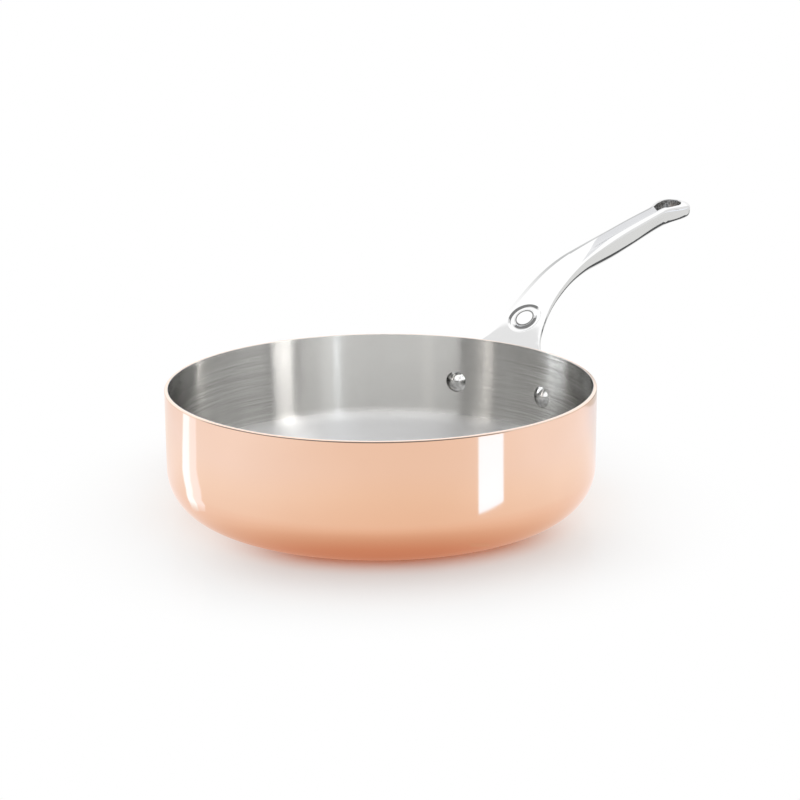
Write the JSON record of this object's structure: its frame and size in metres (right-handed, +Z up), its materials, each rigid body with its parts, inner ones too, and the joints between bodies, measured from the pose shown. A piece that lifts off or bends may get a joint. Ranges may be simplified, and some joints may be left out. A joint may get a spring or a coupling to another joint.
{
  "type": "saute pan",
  "caption": "Straight-sided copper saute pan with a steel lining and a long cast steel handle with a hanging eye, riveted to the wall.",
  "frame": {"origin": "centre of the pan's base, on the surface it stands on", "axes": "+Z up along the pan's axis, +X out along the handle, so the XZ plane is the plane of symmetry"},
  "size_m": [0.442, 0.24, 0.1302],
  "materials": {
    "copper": "polished copper",
    "lining": "brushed round the pan",
    "handle": "mirror-polished cast stainless steel",
    "rivets": "polished stainless steel"
  },
  "bodies": {
    "root": {"copper_body": "copper", "steel_lining": "lining", "handle": "handle", "rivets": "rivets"}
  },
  "joints": []
}
